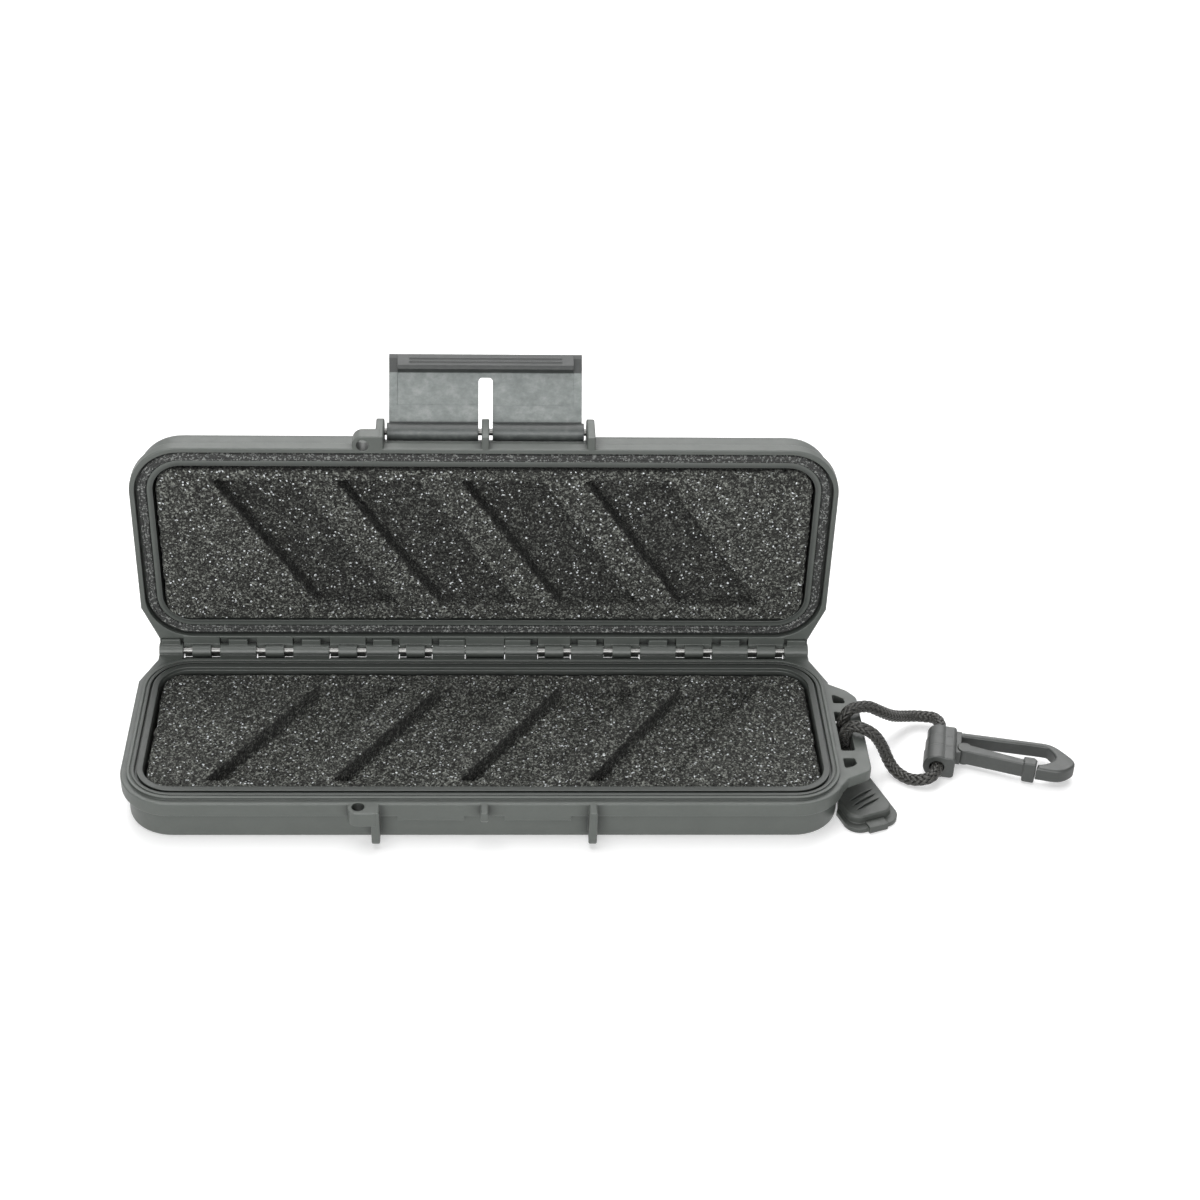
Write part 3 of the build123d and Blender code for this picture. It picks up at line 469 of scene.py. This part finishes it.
def foam_material(name, floor_painted_light):
    """Open-cell charcoal foam: dark pores, grey struts, painted glints, painted shade on the slot
    walls and along the outline, and slot floors painted lighter in the base and darker in the lid.
    """
    s = Shader(name)
    coarse, fine = s.cell_tones(0.00085), s.cell_tones(0.00050)
    cloud = s.noise(0.006, 3.0, 0.5)
    body = s.ramp(s.sum_of((coarse[0], 0.28), (fine[1], 0.60), (cloud, 0.12)), [
        (0.20, (0.005, 0.005, 0.004)),
        (0.42, (0.022, 0.023, 0.020)),
        (0.60, (0.052, 0.054, 0.048)),
        (0.84, (0.235, 0.244, 0.222)),
    ])
    painted_light_marks = s.add("ShaderNodeAttribute", attribute_name="painted_light_marks")
    parts = s.add("ShaderNodeSeparateColor")
    s.link(painted_light_marks.outputs["Color"], parts.inputs[0])
    slot_floor, wall_painted_shade = parts.outputs[0], parts.outputs[1]
    # Slot floors painted lighter in the base and in painted shade in the lid; slot walls and the
    # outline in painted shade.
    body = s.mix(slot_floor, body, (floor_painted_light,) * 3, "MULTIPLY")
    body = s.mix(wall_painted_shade, body, (0.30, 0.30, 0.30), "MULTIPLY")
    # Painted glints: a few cells made pale and glossy, none on the shaded walls.
    painted_glint = s.span(fine[0], 0.976, 0.984, 0.0, 1.0)
    painted_glint = s.maths("MULTIPLY", painted_glint, s.span(wall_painted_shade, 0.0, 0.5, 1.0, 0.0))
    s.colour(s.mix(painted_glint, body, (0.75, 0.78, 0.80)))
    s.roughness(s.span(painted_glint, 0.0, 1.0, 0.75, 0.25))
    s.set(Specular_IOR_Level=0.4)
    rough_wall = s.bump(s.cells(0.00095), 0.00085, 1.0)
    s.normal(s.bump(s.cells(0.00055), 0.00035, 1.0, rough_wall))
    return s.material


def cord_material():
    """Black-brown nylon: fine fibres on the strands, and painted shade in the pits between them."""
    s = Shader("cord_nylon")
    fibre = s.noise(0.00022, 2.0, 0.6)
    tone = s.noise(0.0016, 3.0, 0.6)
    base = s.ramp(s.sum_of((fibre, 0.75), (tone, 0.25)), [
        (0.32, (0.010, 0.010, 0.008)),
        (0.55, (0.030, 0.029, 0.025)),
        (0.72, (0.100, 0.098, 0.086)),
    ])
    pit_shade = s.add("ShaderNodeAttribute", attribute_name="pit_shade")
    # Painted shade in the pits between strands.
    s.colour(s.times(base, s.span(pit_shade.outputs["Fac"], 0.0, 1.0, 1.0, 0.04)))
    s.set(Roughness=0.40, Sheen_Weight=0.10, Sheen_Roughness=0.4)
    s.normal(s.bump(fibre, 0.00006, 0.8))
    return s.material


# Lanyard cord

# Control points of the cord: out from the flange end, t and up, in millimetres.
CORD_POINTS = [
    (2.1, 37.0, 9.9), (2.1, 37.0, 18.6), (10.3, 33.5, 18.2), (15.2, 32.2, 14.6),
    (20.4, 28.2, 9.4), (25.4, 23.0, 5.2), (31.0, 20.4, 3.4), (38.4, 23.3, 4.6),
    (34.4, 40.2, 4.6), (31.6, 53.4, 4.4), (24.4, 52.9, 2.1), (19.6, 48.6, 2.1),
    (17.0, 45.0, 4.6), (14.4, 45.0, 11.0), (10.0, 46.6, 18.0), (2.1, 43.4, 18.6),
    (2.1, 43.0, 9.9),
]


def by_flange(out, t, up):
    """The place in metres of a point beside the case's right flange."""
    return ((END_X + out) * MM, (HINGE_Y - t) * MM, up * MM)


def spline_line(points):
    """Points along the smooth NURBS line that the given points control, in metres."""
    curve = bpy.data.curves.new("route", "CURVE")
    curve.dimensions = "3D"
    spline = curve.splines.new("NURBS")
    spline.points.add(len(points) - 1)
    for target, p in zip(spline.points, points):
        target.co = (*p, 1)
    spline.order_u = 3
    spline.use_endpoint_u = True
    spline.resolution_u = 24
    holder = bpy.data.objects.new("route", curve)
    bpy.context.scene.collection.objects.link(holder)
    mesh = bpy.data.meshes.new_from_object(holder)
    line = np.array([v.co[:] for v in mesh.vertices])
    bpy.data.objects.remove(holder)
    return line


def evenly(line, step):
    """The line at even steps, and how far along it each point lies."""
    lengths = np.linalg.norm(np.diff(line, axis=0), axis=1)
    along = np.concatenate([[0], np.cumsum(lengths)])
    count = max(8, int(along[-1] / step))
    at = np.linspace(0, along[-1], count)
    return np.stack([np.interp(at, along, line[:, k]) for k in range(3)], axis=1), at


def frames_along(line):
    """Two unit vectors across the line at each point, turning as little as possible."""
    tangent = np.gradient(line, axis=0)
    tangent /= np.linalg.norm(tangent, axis=1)[:, None]
    side = np.cross(tangent[0], [0.3, 1.0, 0.2])
    side /= np.linalg.norm(side)
    sides = []
    for t in tangent:
        side = side - t * side.dot(t)
        side /= np.linalg.norm(side)
        sides.append(side)
    sides = np.array(sides)
    return sides, np.cross(tangent, sides)


def tube(line, u, v, ru, rv, sides):
    """Points and faces of a closed tube with an elliptic section along a line."""
    count = len(line)
    angles = np.arange(sides) * 2 * math.pi / sides
    points = (line[:, None, :] + u[:, None, :] * (np.cos(angles) * ru)[None, :, None]
              + v[:, None, :] * (np.sin(angles) * rv)[None, :, None]).reshape(-1, 3)
    faces = []
    for i in range(count - 1):
        for k in range(sides):
            n = (k + 1) % sides
            faces.append((i * sides + k, i * sides + n, (i + 1) * sides + n, (i + 1) * sides + k))
    faces.append(tuple(range(sides - 1, -1, -1)))
    faces.append(tuple((count - 1) * sides + k for k in range(sides)))
    return points, faces


def braid(name, route, radius):
    """Braided sleeve round a core: strands that run both ways, over and under each other."""
    line, at = evenly(route, BRAID_STEP)
    u, v = frames_along(line)
    all_points, all_faces, pit_shades = [], [], []

    def gather(points, faces):
        start = sum(len(p) for p in all_points)
        all_points.append(points)
        all_faces.extend([tuple(i + start for i in f) for f in faces])
        middle = np.repeat(line, len(points) // len(line), axis=0)
        # Painted shade: the deeper below the braid's outer skin, the darker.
        deep = PIT_FROM - np.linalg.norm(points - middle, axis=1) / radius
        pit_shades.append(np.clip(deep / PIT_SPAN, 0, 1))

    core, wave = radius * BRAID_CORE, radius * BRAID_WAVE
    thick, wide = radius * BRAID_THICK, radius * BRAID_WIDE
    gather(*tube(line, u, v, core, core, 16))
    crossing = 2 * BRAID_CARRIERS * at / BRAID_PITCH
    for way in (1, -1):
        for k in range(BRAID_CARRIERS):
            angle = way * 2 * math.pi * at / BRAID_PITCH + 2 * math.pi * k / BRAID_CARRIERS
            out = u * np.cos(angle)[:, None] + v * np.sin(angle)[:, None]
            turn = np.cos((way * crossing + 2 * k - 0.5) * math.pi / 2)
            over = way * np.sign(turn) * np.abs(turn) ** 0.5
            strand = line + out * (radius - thick - wave + wave * over)[:, None]
            along = np.gradient(strand, axis=0)
            along /= np.linalg.norm(along, axis=1)[:, None]
            gather(*tube(strand, np.cross(along, out), out, wide, thick, 8))
    obj = mesh_object(name, np.concatenate(all_points), all_faces)
    layer = obj.data.attributes.new("pit_shade", "FLOAT", "POINT")
    layer.data.foreach_set("value", np.concatenate(pit_shades))
    return obj


def lanyard():
    points = [by_flange(*p) for p in CORD_POINTS]
    route = spline_line(points)
    cord = braid("lanyard_braid", route, CORD_RADIUS * MM)
    cord.data.materials.append(cord_material())
    knot = stopper_knot(cord.data.materials[0])
    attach(cord, "base")
    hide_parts("lanyard_cord")


def stopper_knot(material):
    """Two wraps of the cord round both of its ends, drawn tight under the bracket."""
    turns, steps = 2, 96
    line = []
    for i in range(steps + 1):
        a = 2 * math.pi * turns * i / steps
        line.append(by_flange(
            KNOT_OUT + KNOT_HALF_OUT * math.cos(a),
            KNOT_T - KNOT_HALF_T * math.sin(a),
            KNOT_LOW + (KNOT_HIGH - KNOT_LOW) * i / steps,
        ))
    knot = braid("stopper_knot", np.array(line), KNOT_RADIUS * MM)
    knot.data.materials.append(material)
    tails = []
    for t in TAIL_TS:
        tail = np.array([by_flange(TAIL_OUT, t, up) for up in TAIL_HEIGHTS])
        tails.append(braid("knot_tail_%d" % int(t), tail, TAIL_RADIUS * MM))
    join_into(knot, tails)
    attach(knot, "base")
    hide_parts("cord_knot")
    return knot


def join_into(obj, others):
    """Adds other objects' meshes to this one's."""
    points = [np.array([v.co[:] for v in obj.data.vertices])]
    faces = [tuple(p.vertices) for p in obj.data.polygons]
    for other in others:
        start = sum(len(p) for p in points)
        points.append(np.array([v.co[:] for v in other.data.vertices]))
        faces += [tuple(i + start for i in p.vertices) for p in other.data.polygons]
        bpy.data.objects.remove(other)
    material = obj.data.materials[0]
    mesh = bpy.data.meshes.new(obj.name)
    mesh.from_pydata([tuple(p) for p in np.concatenate(points)], [], faces)
    mesh.polygons.foreach_set("use_smooth", [True] * len(mesh.polygons))
    mesh.materials.append(material)
    obj.data = mesh


# Foam

def slot_marks(x, t, seed):
    """For each place: its share of a slot, and how far it is from a slot's edge and left wall.

    The share runs from 0 outside the slots to 1 on their floors.
    """
    half = RIM_HALF - BASE_FOAM_INSET
    front = RIM_FRONT - BASE_FOAM_INSET - SLOT_FRONT_GAP
    back = RIM_BACK + BASE_FOAM_INSET + SLOT_BACK_GAP
    first = -half + SLOT_LEFT_GAP
    last = half - SLOT_RIGHT_GAP - SLOT_WIDTH - SLOT_SLANT * (front - back)
    across = 1.0 / math.sqrt(1 + SLOT_SLANT ** 2)
    place = np.stack([x, t, np.zeros_like(x)], axis=1)
    tear = 0.22 * lattice_noise(place, 0.9, seed) + 0.22 * lattice_noise(place, 2.6, seed + 1)
    share = np.zeros_like(x)
    near, beside = np.full_like(x, FAR), np.full_like(x, FAR)
    for i in range(SLOT_COUNT):
        start = first + i * (last - first) / (SLOT_COUNT - 1)
        left = start + SLOT_SLANT * (front - t)
        inside = np.minimum.reduce([
            (x - left) * across, (left + SLOT_WIDTH - x) * across, front - t, t - back,
        ]) + tear
        share = np.maximum(share, np.clip(inside / 0.3, 0, 1))
        near = np.minimum(near, np.abs(inside))
        wall = np.abs((x - left) * across + tear) + np.where((t < back) | (t > front), FAR, 0.0)
        beside = np.minimum(beside, wall)
    return share, near, beside


def sheet_grid(half, front, back, corner):
    """Places (x, t) in rows that fill a rounded rectangle."""
    bend = corner * (1 - np.cos(np.linspace(0, math.pi / 2, CORNER_ROWS)))
    middle = np.arange(back + corner, front - corner, FOAM_PITCH)
    rows = np.concatenate([back + bend[:-1], middle, (front - bend)[::-1]])
    past = np.maximum(np.maximum(back + corner - rows, rows - front + corner), 0.0)
    reach = half - corner + np.sqrt(np.maximum(corner ** 2 - past ** 2, 0.0))
    columns = int(2 * half / FOAM_PITCH)
    x = reach[:, None] * np.linspace(-1, 1, columns)[None, :]
    return x, np.repeat(rows[:, None], columns, axis=1)


def closed_sheet(top, shape, thickness):
    """Points and faces of a body with the given grid as its top, straight walls and a flat back."""
    n, m = shape
    grid = np.arange(n * m).reshape(n, m)
    loop = np.concatenate([grid[0, :], grid[1:, -1], grid[-1, -2::-1], grid[-2:0:-1, 0]])
    size = len(loop)
    levels, rings = [top], [loop.tolist()]
    for k in range(1, WALL_STEPS + 1):
        level = top[loop]
        level[:, 2] += (thickness - level[:, 2]) * k / WALL_STEPS
        levels.append(level)
        rings.append([n * m + (k - 1) * size + i for i in range(size)])
    quads = np.stack([grid[:-1, :-1], grid[:-1, 1:], grid[1:, 1:], grid[1:, :-1]], axis=-1)
    faces = quads.reshape(-1, 4).tolist()
    for a, b in zip(rings, rings[1:]):
        for i in range(size):
            j = (i + 1) % size
            faces.append((a[i], b[i], b[j], a[j]))
    faces.append(rings[-1])
    return np.concatenate(levels), faces


def foam_sheet(name, inset, depth, thickness, to_world, seed):
    """One foam lining as a closed body with a grainy face, torn slots and ragged edges, and a
    colour attribute for painted shade and light.
    """
    half, front, back = RIM_HALF - inset, RIM_FRONT - inset, RIM_BACK + inset
    x, t = sheet_grid(half, front, back, RIM_CORNER - inset)
    shape = x.shape
    x, t = x.ravel(), t.ravel()
    edge = np.minimum.reduce([half - np.abs(x), front - t, t - back])
    share, near, beside = slot_marks(x, t, seed)
    # Painted shade: strongest on the slots' left walls, weaker along every slot edge, and along the
    # outline where the foam meets the shell.
    dark = np.clip(1.0 - (beside - 0.15) / 0.45, 0, 1)
    dark = np.maximum(dark, 0.45 * np.clip(1.0 - (near - 0.15) / 0.35, 0, 1))
    dark = np.maximum(dark, np.clip(1 - edge / 0.6, 0, 1))

    # Depth below the face: slots, dips at their edges and at the outline, and the relief.
    down = depth * share + 0.12 * np.exp(-(near / 0.8) ** 2)
    down += 0.6 * np.exp(-(np.clip(edge, 0, FAR) / 0.5) ** 2)
    flat = np.stack([x, t, np.full_like(x, seed)], axis=1)
    for i, (height, size) in enumerate(FOAM_RELIEF):
        down += height * lattice_noise(flat, size, seed + 2 + i)

    # Sideways shifts: everywhere a little, and torn inward along the outline.
    deep = np.stack([x, t, down], axis=1)
    torn = 0.30 + 0.45 * lattice_noise(deep, 1.3, seed + 5)
    torn *= np.exp(-(np.clip(edge, 0, FAR) / 0.7) ** 2)
    ends = np.sign(x) * (np.abs(x) > half - TORN_BAND)
    x = x + 0.22 * lattice_noise(deep, 0.8, seed + 6) - torn * ends
    t = t + 0.22 * lattice_noise(deep, 0.8, seed + 7)
    sides = np.sign(t - (front + back) / 2) * (np.minimum(front - t, t - back) < TORN_BAND)
    t = t - torn * sides

    down = np.clip(down, -0.3, thickness - 0.6)
    points, faces = closed_sheet(np.stack([x, t, down], axis=1), shape, thickness)
    obj = mesh_object(name, to_world(points) * MM, faces)
    # The colour attribute holds each place's share of a slot floor, for painted light there, and
    # its painted shade; the sheet's walls and back are all in painted shade.
    painted_light_marks = np.zeros((len(points), 4))
    painted_light_marks[:, 1] = 1
    painted_light_marks[:, 3] = 1
    painted_light_marks[:len(x), 0] = share
    painted_light_marks[:len(x), 1] = dark
    layer = obj.data.color_attributes.new("painted_light_marks", "FLOAT_COLOR", "POINT")
    layer.data.foreach_set("color", painted_light_marks.ravel())
    return obj


def base_place(p):
    """World places, in millimetres, of (x, t, depth below the base foam's face)."""
    return np.stack([p[:, 0], HINGE_Y - p[:, 1], HINGE_Z - FOAM_BELOW - p[:, 2]], axis=1)


def lid_place(p):
    """World places, in millimetres, of (x, t, depth behind the lid foam's face)."""
    return np.stack([p[:, 0], HINGE_Y + FOAM_BELOW + p[:, 2], HINGE_Z + p[:, 1]], axis=1)


def foam_linings():
    # The last value is the painted light on slot floors: above 1 lighter, below 1 in painted shade.
    for name, inset, depth, thick, place, body, seed, floor_painted_light in (
        ("base_foam", BASE_FOAM_INSET, 5.3, 12.2, base_place, "base", 11, 1.15),
        ("lid_foam", LID_FOAM_INSET, 5.3, 11.2, lid_place, "lid", 47, 0.60),
    ):
        foam = foam_sheet(name, inset, depth, thick, place, seed)
        foam.data.materials.append(foam_material(name + "_charcoal", floor_painted_light))
        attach(foam, body)
        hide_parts(name + "_slotted", name + "_backing")


# Seal

def rim_path(inset, steps=14):
    """Closed rounded rectangle inside the rim line, as (x, t) places."""
    half, low, high = RIM_HALF - inset, RIM_BACK + inset, RIM_FRONT - inset
    corner = RIM_CORNER - inset
    path = []
    for cx, ct, start in (
        (half - corner, high - corner, 0), (-half + corner, high - corner, 90),
        (-half + corner, low + corner, 180), (half - corner, low + corner, 270),
    ):
        for i in range(steps + 1):
            a = math.radians(start + 90 * i / steps)
            path.append((cx + corner * math.cos(a), ct + corner * math.sin(a)))
    return np.array(path)


def seal_beads():
    """Two raised beads along the seal's face."""
    points, faces = [], []
    for inset, wide, high in SEAL_BEADS:
        path = rim_path(inset)
        ahead = np.roll(path, -1, axis=0) - np.roll(path, 1, axis=0)
        ahead /= np.linalg.norm(ahead, axis=1)[:, None]
        out = np.stack([ahead[:, 1], -ahead[:, 0]], axis=1)
        start, count = len(points), len(path)
        for p, o in zip(path, out):
            for k in range(BEAD_SIDES):
                a = 2 * math.pi * k / BEAD_SIDES
                x, t = p + o * (wide * math.cos(a))
                points.append((x, t, SEAL_FACE - high * math.sin(a) - FOAM_BELOW))
        for i in range(count):
            a, b = start + i * BEAD_SIDES, start + (i + 1) % count * BEAD_SIDES
            for k in range(BEAD_SIDES):
                n = (k + 1) % BEAD_SIDES
                faces.append((a + k, a + n, b + n, b + k))
    beads = mesh_object("seal_beads", lid_place(np.array(points)) * MM, faces)
    beads.data.materials.append(NODES["lid_seal"].data.materials[0])
    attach(beads, "lid")


# Finishes of the hard pieces

def finish_hard_pieces():
    steel = steel_material()
    hook, latch = hook_material(), latch_material()
    finishes = {
        # Each shell's tuple places painted shade inside its rim.
        "base_shell": shell_material("base_plastic", ("Y", HINGE_Y - RIM_MIDDLE, 0.0012, 0.50)),
        "lid_shell": shell_material("lid_plastic", ("Z", HINGE_Z + RIM_MIDDLE, 0.0040, 0.55)),
        "lid_seal": seal_material(),
        "hinge_pin": steel, "latch_pin": steel, "latch": latch,
        "vent_tab": rubber_material(), "tab_rivet": rivet_material(),
        "snap_hook": hook, "hook_gate": hook,
    }
    for name, material in finishes.items():
        slots = NODES[name].data.materials
        for i in range(len(slots)):
            slots[i] = material
        if not slots:
            slots.append(material)


# Floor and light

def make_floor():
    """Pale floor: plain white in reflections, and brighter with distance for the camera."""
    a = FLOOR_HALF
    corners = [(-a, -a, 0), (a, -a, 0), (a, a, 0), (-a, a, 0)]
    floor = mesh_object("floor", corners, [(0, 1, 2, 3)], False)
    material = bpy.data.materials.new("pale_floor")
    material.use_nodes = True
    nodes = Nodes(material.node_tree)
    nodes.tree.nodes.clear()
    diffuse = nodes.add("ShaderNodeBsdfDiffuse")
    diffuse.inputs["Color"].default_value = FLOOR_WHITE
    away = nodes.add("ShaderNodeVectorMath", operation="LENGTH")
    nodes.link(nodes.add("ShaderNodeTexCoord").outputs["Object"], away.inputs[0])
    glow, white = nodes.add("ShaderNodeEmission"), nodes.add("ShaderNodeEmission")
    rise = nodes.span(away.outputs["Value"], 0.5, 1.3, FLOOR_GLOW, 1.0)
    nodes.link(rise, glow.inputs["Strength"])
    white.inputs["Strength"].default_value = 1.0
    both = nodes.add("ShaderNodeAddShader")
    nodes.link(diffuse.outputs[0], both.inputs[0])
    nodes.link(glow.outputs[0], both.inputs[1])
    out = nodes.add("ShaderNodeOutputMaterial")
    nodes.link(nodes.by_ray(diffuse, white, both), out.inputs["Surface"])
    floor.data.materials.append(material)


def make_world():
    """Soft ambient light; reflections see a white horizon under a dimmer ceiling."""
    world = bpy.data.worlds.new("studio")
    bpy.context.scene.world = world
    world.use_nodes = True
    nodes = Nodes(world.node_tree)
    nodes.tree.nodes.clear()

    def background(strength):
        node = nodes.add("ShaderNodeBackground")
        node.inputs["Color"].default_value = (1, 1, 1, 1)
        node.inputs["Strength"].default_value = strength
        return node

    soft, white, shiny = background(AMBIENT), background(1.0), background(1.0)
    direction = nodes.add("ShaderNodeSeparateXYZ")
    nodes.link(nodes.add("ShaderNodeTexCoord").outputs["Generated"], direction.inputs[0])
    ceiling = nodes.span(direction.outputs["Z"], 0.45, 0.95, 1.0, 0.35)
    nodes.link(ceiling, shiny.inputs["Strength"])
    out = nodes.add("ShaderNodeOutputWorld")
    nodes.link(nodes.by_ray(soft, shiny, white), out.inputs["Surface"])


def soft_box(name, place, target, size, power):
    data = bpy.data.lights.new(name, "AREA")
    data.shape = "RECTANGLE"
    data.size, data.size_y = size
    data.energy = power
    lamp = bpy.data.objects.new(name, data)
    bpy.context.scene.collection.objects.link(lamp)
    aim = Vector(target) - Vector(place)
    lamp.rotation_mode = "QUATERNION"
    lamp.rotation_quaternion = aim.to_track_quat("-Z", "Y")
    lamp.location = place


make_camera()
lanyard()
foam_linings()
finish_hard_pieces()
seal_beads()
make_floor()
make_world()
for box in SOFT_BOXES:
    soft_box(*box)
bpy.context.scene.view_settings.view_transform = "Standard"
